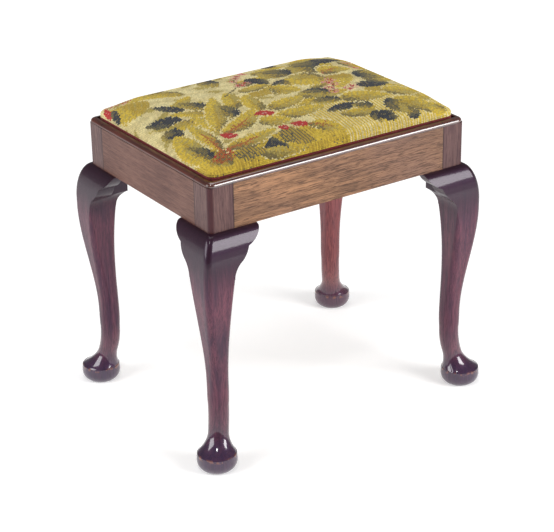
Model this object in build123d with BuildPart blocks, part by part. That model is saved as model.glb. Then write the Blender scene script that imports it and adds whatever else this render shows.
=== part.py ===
from build123d import *
from math import cos, pi, radians, sin
import os

# Cabriole-leg stool with a drop-in seat, in millimetres.
# The origin is on the floor under the middle of the stool, X runs along the long rails and Z is up.

# Frame
frame_length = 436.0
frame_depth = 328.0
rail_underside = 357.1
rail_height = 64.4
rail_thickness = 22.0
post_side = 38.0
post_edge_radius = 7.0
lip_width = 9.0
rebate_depth = 12.0

# Mortises and tenons
tenon_thickness = 8.0
tenon_length = 20.0
tenon_setback = 7.0
tenon_shoulder = 8.0
blind_end_gap = 1.0
joint_clearance = 0.1

# Knee: a quarter ellipse swells from the rail's face, then runs upright for a short way
knee_projection = 20.6
knee_swell = 55.6
knee_upright = 10.0
knee_ridge_radius = 9.0
knee_arris_radius = 1.0
knee_back = 24.6
knee_glue_depth = 41.5
knee_turns = (0, 22, 42, 60, 76, 90)

# Leg from knee to ankle, in distances from the two outer faces of the frame
ankle_height = 91.5
ankle_front = 4.6
ankle_back = 24.7
ankle_flat = 0.3
back_hollow = 2.4
curve_share = 0.85
ridge_ease = 3
arris_ease = 6
leg_stations = 9

# Pad foot
foot_overhang = 3.0
foot_base_diameter = 41.0
foot_belly_diameter = 58.4
foot_belly_height = 14.5
foot_rim_diameter = 56.4
foot_rim_height = 24.5
foot_rim_step = 0.8
flare_start = 0.6
flare_lean = 2.5
flare_ease = 2
flare_stations = 13

# Knee blocks, measured along the rail from the post and down from the rail
ear_length = 36.0
ear_end = 2.0
ear_cusp_along = 12.5
ear_cusp_drop = 23.0
ear_lobe = 3.2
ear_small_lobe = 1.4
ear_backing = 10.0

# Top moulding
moulding_height = 7.0
moulding_run = 6.5
moulding_edge = 0.8
moulding_inner_radius = 1.0
quirk_depth = 0.8
quirk_height = 1.2

# Corner blocks and their screws
brace_reach = 46.0
brace_end = 10.0
brace_thickness = 24.0
brace_drop = 3.0
screw_from_end = 16.0
screw_bed = 14.0
screw_length = 28.0
screw_diameter = 4.0
screw_tip_length = 5.0
screw_tip_diameter = 1.0
screw_head_diameter = 8.0
screw_head_height = 2.6
screw_head_chamfer = 0.8
screw_head_room = 0.5
screw_slot_width = 1.2
screw_slot_depth = 1.0

# Drop-in seat
seat_gap = 1.5
seat_corner_radius = 13.0
cover_thickness = 1.8
turn_under = 25.0
lining_thickness = 0.6
lining_lap = 12.0
layer_gap = 0.3
seat_bar_width = 45.0
seat_bar_thickness = 20.0
shoulder_level = 14.0
shoulder_run = 13.0
shoulder_rise = 13.5
crown_rise = 11.5
shoulder_turns = (0, 20, 40, 60, 80)
crown_shares = (0.03, 0.12, 0.25, 0.4, 0.6, 0.8)
crown_corner_share = 0.8

# Webbing and hessian
webbing_width = 50.0
webbing_thickness = 1.2
long_straps = 3
cross_straps = 4
strap_landing = 30.0
strap_ease = 2.0
hessian_thickness = 0.8
hessian_margin = 8.0

# Tacks
tack_head = 7.0
tack_head_thickness = 0.8
tack_head_sides = 8
tack_shank = 1.6
tack_length = 11.0
cover_tack_inset = 18.5
cover_tack_from_corner = 60.0
cover_tack_count_front = 7
cover_tack_count_side = 5
strap_tack_spread = 30.0
strap_tack_setback = 12.0

# Levels and positions that follow from these
half_length = frame_length / 2
half_depth = frame_depth / 2
rail_top = rail_underside + rail_height
ledge = rail_top - rebate_depth
tenon_low = rail_underside + tenon_shoulder
tenon_high = ledge - tenon_shoulder
tenon_height = tenon_high - tenon_low
tenon_spot = (tenon_setback + tenon_thickness / 2, (tenon_low + tenon_high) / 2)
knee_widest = rail_underside - knee_swell
knee_foot = knee_widest - knee_upright
knee_blank = post_side + knee_projection
glue_foot = rail_underside - knee_glue_depth
ankle_half = (ankle_front + ankle_back) / 2
ankle_middle = (ankle_back - ankle_front) / 2
ankle_rounding = ankle_half - ankle_flat
flare_half = foot_rim_diameter / 2 - foot_rim_step
moulding_radius = lip_width + moulding_inner_radius

brace_top = ledge - brace_drop
brace_middle = brace_top - brace_thickness / 2
screw_along = post_side + brace_reach - screw_from_end
screw_seat = rail_thickness + screw_bed
screw_hole_radius = screw_diameter / 2 + joint_clearance

cover_half_length = half_length - lip_width - seat_gap
cover_half_depth = half_depth - lip_width - seat_gap
lining_inset = cover_thickness + layer_gap
stuffing_inset = lining_inset + lining_thickness + layer_gap
bar_half_length = cover_half_length - stuffing_inset
bar_half_depth = cover_half_depth - stuffing_inset
bar_inner_length = bar_half_length - seat_bar_width
bar_inner_depth = bar_half_depth - seat_bar_width
bar_corner_radius = seat_corner_radius - stuffing_inset
bar_low = ledge + cover_thickness
bar_high = bar_low + seat_bar_thickness
webbing_top = bar_high + 2 * webbing_thickness
hessian_top = webbing_top + hessian_thickness
shoulder_height = rail_top + shoulder_level
crown_height = shoulder_height + shoulder_rise + crown_rise
tack_hole = tack_shank + 2 * joint_clearance

# A corner is built with its outer edge on the Z axis and its rails along +X and +Y
corners = {
    "front_left": Location((-half_length, -half_depth, 0), (0, 0, 0)),
    "front_right": Location((half_length, -half_depth, 0), (0, 0, 90)),
    "back_right": Location((half_length, half_depth, 0), (0, 0, 180)),
    "back_left": Location((-half_length, half_depth, 0), (0, 0, 270)),
}
# A side is built with the middle of its outer face on the Z axis and the seat towards +Y
sides = {
    "front": Location((0, -half_depth, 0), (0, 0, 0)),
    "right": Location((half_length, 0, 0), (0, 0, 90)),
    "back": Location((0, half_depth, 0), (0, 0, 180)),
    "left": Location((-half_length, 0, 0), (0, 0, 270)),
}
# The two screws of a corner, each square to its rail, at the underside of its head
screw_places = (
    Location((screw_along, screw_seat, brace_middle), (-90, 0, 0)),
    Location((screw_seat, screw_along, brace_middle), (0, 90, 0)),
)


def spread(count, reach):
    """Evenly spaced positions from -reach to reach."""
    return [reach * (2 * index / (count - 1) - 1) for index in range(count)]


# Straps share the seat frame's opening evenly
long_strap_lines = spread(long_straps, bar_inner_depth * (1 - 1 / long_straps))
cross_strap_lines = spread(cross_straps, bar_inner_length * (1 - 1 / cross_straps))
strap_tack_along = strap_landing - strap_tack_setback
strap_tack_spots = [
    (end * (bar_inner_length + strap_tack_along), line + side * strap_tack_spread / 2)
    for line in long_strap_lines
    for end in (-1, 1)
    for side in (-1, 1)
]
strap_tack_spots += [
    (line + side * strap_tack_spread / 2, end * (bar_inner_depth + strap_tack_along))
    for line in cross_strap_lines
    for end in (-1, 1)
    for side in (-1, 1)
]
cover_tack_spots = [
    (along, end * (cover_half_depth - cover_tack_inset))
    for along in spread(cover_tack_count_front, cover_half_length - cover_tack_from_corner)
    for end in (-1, 1)
]
cover_tack_spots += [
    (end * (cover_half_length - cover_tack_inset), along)
    for along in spread(cover_tack_count_side, cover_half_depth - cover_tack_from_corner)
    for end in (-1, 1)
]

os.makedirs("parts", exist_ok=True)


def keep(piece, name):
    """Label a finished piece and write it."""
    piece.label = name
    export_step(piece, f"parts/{name}.step")


def leg_section(height, front, back, ridge, arris, inner):
    """Square across the leg, from its front faces to its back faces, with its own radius at each corner."""
    with BuildSketch(Plane.XY.offset(height)) as section:
        with BuildLine():
            FilletPolyline(
                (front, front),
                (back, front),
                (back, back),
                (front, back),
                radius=(ridge, arris, inner, arris),
                close=True,
            )
        make_face()
    return section.sketch


def knee_front():
    """Front line of the knee, from the rail's underside down to the end of its upright stretch."""
    EllipticalCenterArc((0, knee_widest), knee_projection, knee_swell, start_angle=90, arc_size=90)
    Line((-knee_projection, knee_widest), (-knee_projection, knee_foot))


# Knee sections, wider than the post until its back is sawn
knee_sections = [leg_section(knee_foot, -knee_projection, knee_blank, knee_ridge_radius, 0, 0)]
for turn in knee_turns:
    ridge = knee_ridge_radius + (post_edge_radius - knee_ridge_radius) * turn / 90
    knee_sections.append(
        leg_section(
            knee_widest + knee_swell * sin(radians(turn)),
            -knee_projection * cos(radians(turn)),
            knee_blank,
            ridge,
            0,
            0,
        )
    )

# Cabriole sections from the knee to the ankle: the front sweeps in, the back is slightly hollow
shaft_sections = []
for station in range(leg_stations):
    share = station / (leg_stations - 1)
    bend = min(share / curve_share, 1)
    ridge = knee_ridge_radius + (ankle_rounding - knee_ridge_radius) * share**ridge_ease
    arris = knee_arris_radius + (ridge - knee_arris_radius) * (1 - (1 - share) ** arris_ease)
    shaft_sections.append(
        leg_section(
            knee_foot + (ankle_height - knee_foot) * share,
            -knee_projection + (knee_projection - ankle_front) * bend * bend * (3 - 2 * bend),
            knee_back + (ankle_back - knee_back) * share - back_hollow * sin(pi * bend),
            ridge,
            arris,
            arris,
        )
    )

# Flare sections from the ankle to the rim of the foot, which leans out and then widens in a cove
flare_sections = []
for station in range(flare_stations):
    share = station / (flare_stations - 1)
    widening = max(share - flare_start, 0) / (1 - flare_start)
    half = ankle_half + (flare_half - ankle_half) * widening**flare_ease
    middle = ankle_middle - (foot_overhang + ankle_middle) * share**flare_lean
    rounding = half - ankle_flat
    flare_sections.append(
        leg_section(
            ankle_height + (foot_rim_height - ankle_height) * share,
            middle - half,
            middle + half,
            rounding,
            rounding,
            rounding,
        )
    )

with BuildPart() as leg:
    # Knee, with its two backs sawn to the curve that runs into the leg
    loft(sections=knee_sections)
    for side_plane in (Plane.XZ, Plane.YZ):
        with BuildSketch(side_plane):
            with BuildLine():
                Polyline(
                    (knee_back, knee_foot),
                    (-knee_blank, knee_foot),
                    (-knee_blank, rail_underside),
                    (post_side, rail_underside),
                    (post_side, glue_foot),
                )
                TangentArc((knee_back, knee_foot), (post_side, glue_foot), tangent=(0, 1))
            make_face()
        extrude(amount=knee_blank, both=True, mode=Mode.INTERSECT)
    # Post with its outer edge rounded
    with BuildSketch(Plane.XY.offset(rail_underside)) as post:
        Rectangle(post_side, post_side, align=(Align.MIN, Align.MIN))
        fillet(post.vertices().sort_by(lambda corner: corner.X + corner.Y)[0], post_edge_radius)
    extrude(amount=rail_height)
    # Cabriole curve down to the foot
    loft(sections=shaft_sections)
    loft(sections=flare_sections)
    # Turned pad foot
    with BuildSketch(Plane((-foot_overhang, -foot_overhang, 0), x_dir=(1, 0, 0), z_dir=(0, -1, 0))):
        with BuildLine():
            Line((0, 0), (foot_base_diameter / 2, 0))
            TangentArc(
                (foot_belly_diameter / 2, foot_belly_height), (foot_base_diameter / 2, 0), tangent=(0, -1)
            )
            TangentArc(
                (foot_belly_diameter / 2, foot_belly_height),
                (foot_rim_diameter / 2, foot_rim_height),
                tangent=(0, 1),
            )
            Line((foot_rim_diameter / 2, foot_rim_height), (0, foot_rim_height))
            Line((0, foot_rim_height), (0, 0))
        make_face()
    revolve(axis=Axis((-foot_overhang, -foot_overhang, 0), (0, 0, 1)))
    # Mortises for the two rails
    for mortise_plane, inward in ((Plane.YZ.offset(post_side), -1), (Plane.XZ.offset(-post_side), 1)):
        with BuildSketch(mortise_plane):
            with Locations(tenon_spot):
                Rectangle(tenon_thickness + 2 * joint_clearance, tenon_height + 2 * joint_clearance)
        extrude(amount=inward * (tenon_length + blind_end_gap), mode=Mode.SUBTRACT)
    # Corner of the seat rebate
    with BuildSketch(Plane.XY.offset(ledge)):
        with Locations((lip_width, lip_width)):
            Rectangle(post_side, post_side, align=(Align.MIN, Align.MIN))
    extrude(amount=rebate_depth, mode=Mode.SUBTRACT)

for corner, place in corners.items():
    keep(leg.part.moved(place), f"leg_{corner}")


def seat_rail(span):
    """Rail between two posts, rebated for the seat, with a tenon at each end and its screw holes."""
    with BuildPart() as rail:
        with BuildSketch(Plane.YZ.offset(-span / 2)):
            with BuildLine():
                Polyline(
                    (0, rail_underside),
                    (0, rail_top),
                    (lip_width, rail_top),
                    (lip_width, ledge),
                    (rail_thickness, ledge),
                    (rail_thickness, rail_underside),
                    close=True,
                )
            make_face()
        extrude(amount=span)
        with BuildSketch(Plane.YZ.offset(-span / 2 - tenon_length)):
            with Locations(tenon_spot):
                Rectangle(tenon_thickness, tenon_height)
        extrude(amount=span + 2 * tenon_length)
        hole_along = span / 2 + post_side - screw_along
        for along in (-hole_along, hole_along):
            with Locations(Plane((along, rail_thickness, brace_middle), z_dir=(0, 1, 0))):
                Hole(screw_hole_radius, screw_length - screw_bed + blind_end_gap)
    return rail.part


long_rail = seat_rail(frame_length - 2 * post_side)
short_rail = seat_rail(frame_depth - 2 * post_side)
for side, place in sides.items():
    piece = long_rail if side in ("front", "back") else short_rail
    keep(piece.moved(place), f"rail_{side}")


def knee_block(along, across):
    """Ear beside a knee: its two lobes are sawn through it, and its front follows the knee."""
    tip = post_side + ear_length
    cusp = (post_side + ear_cusp_along, rail_underside - ear_cusp_drop)
    with BuildPart() as ear:
        with BuildSketch(along):
            with BuildLine():
                Polyline(
                    (post_side, glue_foot),
                    (post_side, rail_underside),
                    (tip, rail_underside),
                    (tip, rail_underside - ear_end),
                )
                SagittaArc(cusp, (tip, rail_underside - ear_end), -ear_lobe)
                SagittaArc((post_side, glue_foot), cusp, -ear_small_lobe)
            make_face()
        extrude(amount=knee_blank, both=True)
        with BuildSketch(across):
            with BuildLine():
                knee_front()
                Polyline(
                    (-knee_projection, knee_foot),
                    (ear_backing, knee_foot),
                    (ear_backing, rail_underside),
                    (0, rail_underside),
                )
            make_face()
        extrude(amount=tip + knee_blank, both=True, mode=Mode.INTERSECT)
    return ear.part


ear_along_x = knee_block(Plane.XZ, Plane.YZ)
ear_along_y = knee_block(Plane.YZ, Plane.XZ)
ears = {
    "front_left": ear_along_x.moved(corners["front_left"]),
    "left_front": ear_along_y.moved(corners["front_left"]),
    "right_front": ear_along_x.moved(corners["front_right"]),
    "front_right": ear_along_y.moved(corners["front_right"]),
    "back_right": ear_along_x.moved(corners["back_right"]),
    "right_back": ear_along_y.moved(corners["back_right"]),
    "left_back": ear_along_x.moved(corners["back_left"]),
    "back_left": ear_along_y.moved(corners["back_left"]),
}
for place_name, piece in ears.items():
    keep(piece, f"knee_block_{place_name}")


def top_moulding(length):
    """Thumb moulding over one side, swept half-way round the corner at each end, where it is mitred."""
    turn_in = length / 2 - moulding_radius
    with BuildPart() as strip:
        with BuildLine(Plane.XY.offset(rail_top)) as path:
            CenterArc((-turn_in, moulding_radius), moulding_radius, 225, 45)
            Line((-turn_in, 0), (turn_in, 0))
            CenterArc((turn_in, moulding_radius), moulding_radius, 270, 45)
        mitre = Plane(path.line @ 0, x_dir=(1, 1, 0), z_dir=(1, -1, 0))
        with BuildSketch(mitre):
            with BuildLine():
                Polyline(
                    (moulding_run, moulding_height),
                    (lip_width, moulding_height),
                    (lip_width, 0),
                    (quirk_depth, 0),
                    (quirk_depth, quirk_height),
                    (0, quirk_height),
                    (0, quirk_height + moulding_edge),
                )
                EllipticalCenterArc(
                    (moulding_run, quirk_height + moulding_edge),
                    moulding_run,
                    moulding_height - quirk_height - moulding_edge,
                    start_angle=90,
                    arc_size=90,
                )
            make_face()
        sweep()
    return strip.part


long_moulding = top_moulding(frame_length)
short_moulding = top_moulding(frame_depth)
for side, place in sides.items():
    piece = long_moulding if side in ("front", "back") else short_moulding
    keep(piece.moved(place), f"top_moulding_{side}")

# Corner blocks, notched round the post, with a counterbored screw hole through each wing
with BuildPart() as corner_block:
    with BuildSketch(Plane.XY.offset(brace_top - brace_thickness)):
        with BuildLine():
            Polyline(
                (post_side, rail_thickness),
                (post_side + brace_reach, rail_thickness),
                (post_side + brace_reach, rail_thickness + brace_end),
                (rail_thickness + brace_end, post_side + brace_reach),
                (rail_thickness, post_side + brace_reach),
                (rail_thickness, post_side),
                (post_side, post_side),
                close=True,
            )
        make_face()
    extrude(amount=brace_thickness)
    for screw_place in screw_places:
        with Locations(screw_place):
            Cylinder(
                screw_hole_radius,
                screw_bed,
                align=(Align.CENTER, Align.CENTER, Align.MAX),
                mode=Mode.SUBTRACT,
            )
            Cylinder(
                screw_head_diameter / 2 + screw_head_room,
                brace_reach,
                align=(Align.CENTER, Align.CENTER, Align.MIN),
                mode=Mode.SUBTRACT,
            )

for corner, place in corners.items():
    keep(corner_block.part.moved(place), f"corner_block_{corner}")

# Screws, turned about Z with the underside of the head on the XY plane
with BuildPart() as screw:
    with BuildSketch(Plane.XZ):
        with BuildLine():
            Polyline(
                (0, screw_head_height),
                (screw_head_diameter / 2 - screw_head_chamfer, screw_head_height),
                (screw_head_diameter / 2, screw_head_height - screw_head_chamfer),
                (screw_head_diameter / 2, 0),
                (screw_diameter / 2, 0),
                (screw_diameter / 2, screw_tip_length - screw_length),
                (screw_tip_diameter / 2, -screw_length),
                (0, -screw_length),
                close=True,
            )
        make_face()
    revolve(axis=Axis.Z)
    with BuildSketch(Plane.XY.offset(screw_head_height)):
        Rectangle(screw_head_diameter, screw_slot_width)
    extrude(amount=-screw_slot_depth, mode=Mode.SUBTRACT)

with BuildPart() as corner_block_screws:
    for corner_place in corners.values():
        for screw_place in screw_places:
            with Locations(corner_place * screw_place):
                add(screw.part)
keep(corner_block_screws.part, "corner_block_screws")


def tack_holes(spots, level, depth):
    """Square holes left by tacks, from a level upwards, or downwards for a negative depth."""
    with BuildSketch(Plane.XY.offset(level)) as holes:
        with Locations(*spots):
            Rectangle(tack_hole, tack_hole)
    extrude(holes.sketch, amount=depth, mode=Mode.SUBTRACT)


def seat_bar(centre, size, lap_centres, lap_level):
    """Bar of the loose seat frame, half its thickness cut away where it crosses its neighbours."""
    with BuildPart() as bar:
        with BuildSketch(Plane.XY.offset(bar_low)):
            RectangleRounded(2 * bar_half_length, 2 * bar_half_depth, bar_corner_radius)
            with Locations(centre):
                Rectangle(*size, mode=Mode.INTERSECT)
        extrude(amount=seat_bar_thickness)
        with BuildSketch(Plane.XY.offset(lap_level)):
            with Locations(*lap_centres):
                Rectangle(seat_bar_width, seat_bar_width)
        extrude(amount=seat_bar_thickness / 2, mode=Mode.SUBTRACT)
        tack_holes(cover_tack_spots, bar_low, tack_length - cover_thickness)
        tack_holes(strap_tack_spots, bar_high, webbing_thickness - tack_length)
    return bar.part


# Long bars run right through below, short bars above
lap_along = bar_half_length - seat_bar_width / 2
lap_across = bar_half_depth - seat_bar_width / 2
for side, end in (("front", -1), ("back", 1)):
    laps = [(-lap_along, end * lap_across), (lap_along, end * lap_across)]
    bar_size = (2 * bar_half_length, seat_bar_width)
    keep(seat_bar((0, end * lap_across), bar_size, laps, bar_low + seat_bar_thickness / 2), f"seat_bar_{side}")
for side, end in (("left", -1), ("right", 1)):
    laps = [(end * lap_along, -lap_across), (end * lap_along, lap_across)]
    bar_size = (seat_bar_width, 2 * bar_half_depth)
    keep(seat_bar((end * lap_along, 0), bar_size, laps, bar_low), f"seat_bar_{side}")


def strap(plane, inner_reach, crossings, levels):
    """Webbing strap: flat on the bars, then over and under the straps that it crosses."""
    half = webbing_width / 2 + strap_ease
    underside = [(-inner_reach - strap_landing, 0), (-inner_reach, 0)]
    for crossing, level in zip(crossings, levels):
        underside.append((crossing - half, level * webbing_thickness))
        underside.append((crossing + half, level * webbing_thickness))
    underside += [(inner_reach, 0), (inner_reach + strap_landing, 0)]
    topside = [(along, up + webbing_thickness) for along, up in reversed(underside)]
    with BuildPart() as band:
        with BuildSketch(plane):
            with BuildLine():
                Polyline(*underside, *topside, close=True)
            make_face()
        extrude(amount=webbing_width / 2, both=True)
        tack_holes(strap_tack_spots, bar_high, webbing_thickness)
    return band.part


for row, line in enumerate(long_strap_lines):
    over = [(row + column) % 2 for column in range(cross_straps)]
    plane = Plane((0, line, bar_high), x_dir=(1, 0, 0), z_dir=(0, -1, 0))
    keep(strap(plane, bar_inner_length, cross_strap_lines, over), f"webbing_long_{row + 1}")
for column, line in enumerate(cross_strap_lines):
    over = [1 - (row + column) % 2 for row in range(long_straps)]
    plane = Plane((line, 0, bar_high), x_dir=(0, 1, 0), z_dir=(1, 0, 0))
    keep(strap(plane, bar_inner_depth, long_strap_lines, over), f"webbing_cross_{column + 1}")


def tack_group(spots, level, up):
    """Cut tacks with square shanks, their heads against a level and their points along up."""
    with BuildPart() as tacks:
        with BuildSketch(Plane.XY.offset(level)):
            with Locations(*spots):
                RegularPolygon(tack_head / 2, tack_head_sides)
        extrude(amount=-up * tack_head_thickness)
        with BuildSketch(Plane.XY.offset(level)):
            with Locations(*spots):
                Rectangle(tack_shank, tack_shank)
        extrude(amount=up * (tack_length - blind_end_gap))
    return tacks.part


keep(tack_group(strap_tack_spots, bar_high + webbing_thickness, -1), "webbing_tacks")
keep(tack_group(cover_tack_spots, ledge, 1), "cover_tacks")

# Hessian over the webbing
with BuildPart() as hessian:
    with BuildSketch(Plane.XY.offset(webbing_top)):
        RectangleRounded(
            2 * (bar_half_length - hessian_margin), 2 * (bar_half_depth - hessian_margin), bar_corner_radius
        )
    extrude(amount=hessian_thickness)
keep(hessian.part, "hessian")


def crowned(inset, foot, mode):
    """Body of the padded seat as it is a given depth inside its outer face, from a level upwards."""
    half_x = cover_half_length - inset
    half_y = cover_half_depth - inset
    radius = seat_corner_radius - inset
    with BuildSketch(Plane.XY.offset(foot)) as plan:
        RectangleRounded(2 * half_x, 2 * half_y, radius)
    extrude(plan.sketch, amount=shoulder_height - foot, mode=mode)
    rings = []
    for turn in shoulder_turns:
        run = (shoulder_run - inset) * (1 - cos(radians(turn)))
        rise = (shoulder_rise - inset) * sin(radians(turn))
        rings.append((run, shoulder_height + rise, radius))
    for share in crown_shares:
        run = shoulder_run - inset + (cover_half_depth - shoulder_run) * share
        fall = crown_rise * (1 - share) ** 2
        rounding = radius * (1 - share) + crown_corner_share * (half_y - run) * share
        rings.append((run, crown_height - inset - fall, rounding))
    sections = []
    for run, height, rounding in rings:
        with BuildSketch(Plane.XY.offset(height)) as section:
            RectangleRounded(2 * (half_x - run), 2 * (half_y - run), rounding)
        sections.append(section.sketch)
    loft(sections=sections, ruled=True, mode=mode)


with BuildPart() as stuffing:
    crowned(stuffing_inset, hessian_top, Mode.ADD)
keep(stuffing.part, "stuffing")

with BuildPart() as lining:
    crowned(lining_inset, bar_high - lining_lap, Mode.ADD)
    crowned(lining_inset + lining_thickness, bar_high - lining_lap, Mode.SUBTRACT)
keep(lining.part, "calico_lining")

# Needlework cover, turned under the seat frame and open in the middle below
with BuildPart() as cover:
    crowned(0, ledge, Mode.ADD)
    crowned(cover_thickness, bar_low, Mode.SUBTRACT)
    with BuildSketch(Plane.XY.offset(ledge)):
        Rectangle(2 * (cover_half_length - turn_under), 2 * (cover_half_depth - turn_under))
    extrude(amount=cover_thickness, mode=Mode.SUBTRACT)
    tack_holes(cover_tack_spots, ledge, cover_thickness)
keep(cover.part, "needlework_cover")
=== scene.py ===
import math

import bpy
import numpy as np
from mathutils import Matrix, Vector
from mathutils.bvhtree import BVHTree


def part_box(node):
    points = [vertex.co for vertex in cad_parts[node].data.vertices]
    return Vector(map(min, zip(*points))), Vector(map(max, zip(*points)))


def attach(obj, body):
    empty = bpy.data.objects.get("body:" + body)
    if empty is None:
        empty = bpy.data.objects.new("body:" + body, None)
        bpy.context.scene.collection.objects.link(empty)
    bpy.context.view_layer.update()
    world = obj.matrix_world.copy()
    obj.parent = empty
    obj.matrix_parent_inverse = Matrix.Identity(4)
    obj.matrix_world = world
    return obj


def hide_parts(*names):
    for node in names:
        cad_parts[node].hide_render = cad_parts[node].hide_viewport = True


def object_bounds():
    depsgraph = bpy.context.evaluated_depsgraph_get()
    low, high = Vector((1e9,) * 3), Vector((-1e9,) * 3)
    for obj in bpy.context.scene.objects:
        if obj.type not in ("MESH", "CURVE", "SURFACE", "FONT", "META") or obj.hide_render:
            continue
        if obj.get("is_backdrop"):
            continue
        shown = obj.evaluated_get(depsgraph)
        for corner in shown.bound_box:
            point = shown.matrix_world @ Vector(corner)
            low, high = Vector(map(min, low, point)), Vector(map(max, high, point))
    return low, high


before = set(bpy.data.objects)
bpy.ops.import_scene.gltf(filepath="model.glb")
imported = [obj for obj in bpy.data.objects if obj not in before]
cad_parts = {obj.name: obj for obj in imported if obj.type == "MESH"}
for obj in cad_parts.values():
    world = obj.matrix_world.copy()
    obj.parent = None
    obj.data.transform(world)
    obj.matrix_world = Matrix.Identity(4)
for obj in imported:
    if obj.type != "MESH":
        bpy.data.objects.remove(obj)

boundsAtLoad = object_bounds()
scene = bpy.context.scene
nodeNames = list(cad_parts)
print("stage: frame loaded")


# One socket, so that node maths reads as arithmetic.
class Wire:
    def __init__(self, graph, socket):
        self.graph = graph
        self.socket = socket

    def calc(self, operation, *others):
        return self.graph.add("ShaderNodeMath", {"operation": operation}, [self, *others])

    def __add__(self, other):
        return self.calc("ADD", other)

    __radd__ = __add__

    def __mul__(self, other):
        return self.calc("MULTIPLY", other)

    __rmul__ = __mul__

    def __sub__(self, other):
        return self.calc("SUBTRACT", other)

    def __rsub__(self, other):
        return (self * -1.0) + other

    def __truediv__(self, other):
        return self.calc("DIVIDE", other)

    def __rtruediv__(self, other):
        return self.calc("POWER", -1.0) * other

    def __pow__(self, other):
        return self.calc("POWER", other)

    def rise(self, low, high):
        sockets = {"Value": self, "From Min": low, "From Max": high}
        return self.graph.add("ShaderNodeMapRange", {"interpolation_type": "SMOOTHSTEP"}, sockets)

    def hump(self, middle, reach):
        return 1.0 - (self - middle).calc("ABSOLUTE").rise(0.0, reach)


# Any node tree: a node is added by its type, its settings and then its sockets.
class Graph:
    def __init__(self, tree):
        self.tree = tree

    def fill(self, socket, value):
        if isinstance(value, Wire):
            self.tree.links.new(value.socket, socket)
        else:
            socket.default_value = value

    def add(self, kind, settings=None, sockets=None, out=0):
        node = self.tree.nodes.new(kind)
        for key, value in (settings or {}).items():
            setattr(node, key, value)
        if isinstance(sockets, dict):
            pairs = [(node.inputs[key], value) for key, value in sockets.items()]
        else:
            pairs = list(zip(node.inputs, sockets or []))
        for socket, value in pairs:
            self.fill(socket, value)
        return Wire(self, node.outputs[out])


# A material and the nodes that its looks need.
class Look(Graph):
    def __init__(self, name):
        self.material = bpy.data.materials.new(name)
        self.material.use_nodes = True
        super().__init__(self.material.node_tree)
        self.tree.nodes.clear()

    def mix(self, share, first, second, way="MIX"):
        node = self.tree.nodes.new("ShaderNodeMix")
        node.data_type = "RGBA"
        node.blend_type = way
        for key, value in (("Factor_Float", share), ("A_Color", first), ("B_Color", second)):
            self.fill(next(s for s in node.inputs if s.identifier == key), value)
        return Wire(self, next(s for s in node.outputs if s.identifier == "Result_Color"))

    def place(self):
        return self.add("ShaderNodeTexCoord", out="Object")

    def axes(self, vector):
        split = self.tree.nodes.new("ShaderNodeSeparateXYZ")
        self.fill(split.inputs[0], vector)
        return [Wire(self, socket) for socket in split.outputs]

    def stretch(self, vector, scale):
        return self.add("ShaderNodeMapping", {"vector_type": "POINT"}, {"Vector": vector, "Scale": scale})

    def noise(self, vector, scale, detail=3.0, roughness=0.5, distortion=0.0):
        sockets = {"Vector": vector, "Scale": scale, "Detail": detail}
        sockets.update({"Roughness": roughness, "Distortion": distortion})
        return self.add("ShaderNodeTexNoise", {"noise_dimensions": "3D"}, sockets)

    def bump(self, height, depth, strength=1.0):
        return self.add("ShaderNodeBump", None, {"Strength": strength, "Distance": depth, "Height": height})

    def finish(self, sockets):
        shader = self.add("ShaderNodeBsdfPrincipled", None, sockets)
        output = self.tree.nodes.new("ShaderNodeOutputMaterial")
        self.tree.links.new(shader.socket, output.inputs["Surface"])
        return self.material


def colour(red, green, blue):
    shares = [c / 255 for c in (red, green, blue)]
    return (*[c / 12.92 if c <= 0.04045 else ((c + 0.055) / 1.055) ** 2.4 for c in shares], 1.0)


def newPiece(name, points, faces, material, smooth=True):
    mesh = bpy.data.meshes.new(name)
    mesh.from_pydata([tuple(p) for p in points], [], [tuple(f) for f in faces])
    mesh.validate()
    if smooth:
        mesh.polygons.foreach_set("use_smooth", [True] * len(mesh.polygons))
    mesh.materials.append(material)
    piece = bpy.data.objects.new(name, mesh)
    scene.collection.objects.link(piece)
    return piece


tenonLength = 0.020
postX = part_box("rail_front")[1].x - tenonLength
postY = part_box("rail_left")[1].y - tenonLength
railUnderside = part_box("rail_front")[0].z
footLow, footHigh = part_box("leg_front_right")
postSide = 0.038
postEdge = Vector((postX + postSide, postY + postSide))
footBelly = 0.0292
foot = {"x": footHigh.x - footBelly, "y": -footLow.y - footBelly, "rim": 0.0235, "radius": 0.0275}


wood = {
    "squeeze": 0.052, "band": 150.0, "cloud": 13.0, "purplePatch": 7.0, "fleck": 900.0, "pore": 1000.0,
    "chip": 130.0, "jointReach": 0.0014, "kneeShadeLow": 0.09, "kneeShadeHigh": 0.03, "arrisWide": 0.0085,
    "arrisNarrow": 0.0045, "coatHigh": 0.11, "coatLow": 0.03, "footBlueTop": 0.06, "relief": 0.0002,
    "purpleFrom": -0.05, "purpleTo": 0.15,
}


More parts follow.
